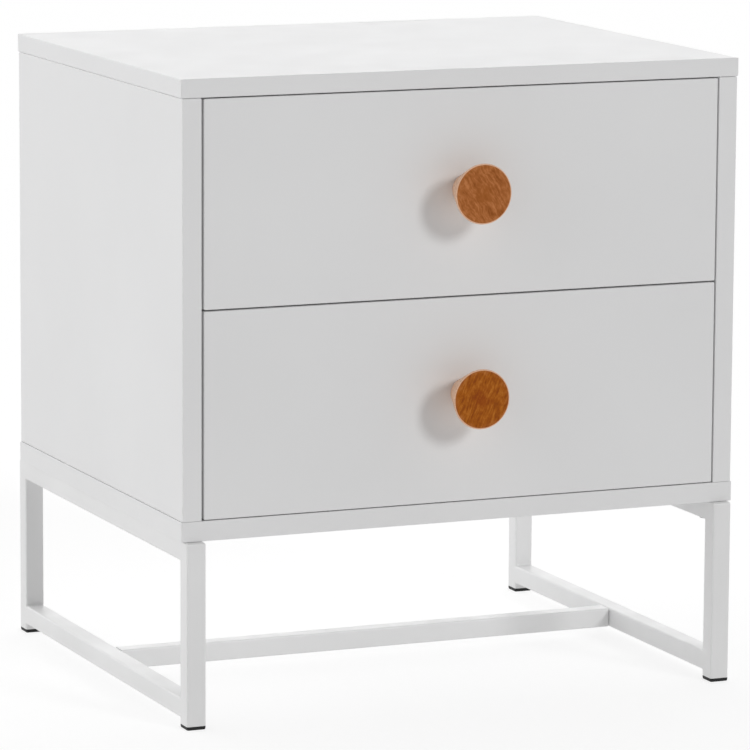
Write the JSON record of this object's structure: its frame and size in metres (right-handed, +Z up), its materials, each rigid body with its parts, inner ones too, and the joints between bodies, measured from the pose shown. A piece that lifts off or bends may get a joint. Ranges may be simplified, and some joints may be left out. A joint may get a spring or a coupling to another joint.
{
  "type": "nightstand with drawers",
  "caption": "White board nightstand with stacked inset drawers, round turned-wood knobs and an open sled base of white square tube.",
  "frame": {"origin": "on the floor, under the middle of the box of the whole object, knobs included", "axes": "+X to the right seen from the front, +Y to the back, +Z up; the drawers open towards -Y"},
  "size_m": [0.45, 0.402, 0.48],
  "materials": {
    "white_board": "board with a matt white lacquer",
    "hardboard": "thin hardboard, painted off-white on its face",
    "drawer_box": "white foil-wrapped board",
    "white_metal": "white powder coat, fine texture",
    "zinc": "zinc-plated steel",
    "screw_steel": "darkened steel",
    "black_plastic": "moulded, matt",
    "oiled_wood": "turned hardwood, oiled, end grain on the face"
  },
  "bodies": {
    "root": {"top_board": "white_board", "bottom_board": "white_board", "left_side_panel": "white_board", "right_side_panel": "white_board", "back_panel": "hardboard", "left_cam_top_front": "zinc", "left_cam_top_rear": "zinc", "left_cam_bottom_front": "zinc", "left_cam_bottom_rear": "zinc", "right_cam_top_front": "zinc", "right_cam_top_rear": "zinc", "right_cam_bottom_front": "zinc", "right_cam_bottom_rear": "zinc", "left_front_leg": "white_metal", "left_rear_leg": "white_metal", "left_top_rail": "white_metal", "left_lower_rail": "white_metal", "left_front_foot_cap": "black_plastic", "left_rear_foot_cap": "black_plastic", "left_frame_screw_front": "screw_steel", "left_frame_screw_rear": "screw_steel", "left_set_screw": "screw_steel", "left_spigot": "zinc", "right_front_leg": "white_metal", "right_rear_leg": "white_metal", "right_top_rail": "white_metal", "right_lower_rail": "white_metal", "right_front_foot_cap": "black_plastic", "right_rear_foot_cap": "black_plastic", "right_frame_screw_front": "screw_steel", "right_frame_screw_rear": "screw_steel", "right_set_screw": "screw_steel", "right_spigot": "zinc", "stretcher": "white_metal", "lower_left_cabinet_runner": "zinc", "lower_right_cabinet_runner": "zinc", "upper_left_cabinet_runner": "zinc", "upper_right_cabinet_runner": "zinc"},
    "lower_drawer": {"lower_drawer_front": "white_board", "lower_box_left_side": "drawer_box", "lower_box_right_side": "drawer_box", "lower_box_back": "drawer_box", "lower_box_bottom": "hardboard", "lower_knob": "oiled_wood", "lower_knob_screw": "screw_steel", "lower_left_drawer_runner": "zinc", "lower_right_drawer_runner": "zinc"},
    "lower_middle_runners": {"lower_left_middle_runner": "zinc", "lower_right_middle_runner": "zinc"},
    "upper_drawer": {"upper_drawer_front": "white_board", "upper_box_left_side": "drawer_box", "upper_box_right_side": "drawer_box", "upper_box_back": "drawer_box", "upper_box_bottom": "hardboard", "upper_knob": "oiled_wood", "upper_knob_screw": "screw_steel", "upper_left_drawer_runner": "zinc", "upper_right_drawer_runner": "zinc"},
    "upper_middle_runners": {"upper_left_middle_runner": "zinc", "upper_right_middle_runner": "zinc"}
  },
  "joints": [
    {"name": "lower_drawer_slide", "type": "slide", "parent": "root", "child": "lower_drawer", "axis": [0, -1, 0], "range_m": [0, 0.29]},
    {"name": "lower_middle_runner_slide", "type": "slide", "parent": "root", "child": "lower_middle_runners", "axis": [0, -1, 0], "range_m": [0, 0.145]},
    {"name": "upper_drawer_slide", "type": "slide", "parent": "root", "child": "upper_drawer", "axis": [0, -1, 0], "range_m": [0, 0.29]},
    {"name": "upper_middle_runner_slide", "type": "slide", "parent": "root", "child": "upper_middle_runners", "axis": [0, -1, 0], "range_m": [0, 0.145]}
  ],
  "couplings": [
    {"joint": "lower_middle_runner_slide", "follows": "lower_drawer_slide", "ratio": 0.5},
    {"joint": "upper_middle_runner_slide", "follows": "upper_drawer_slide", "ratio": 0.5}
  ]
}
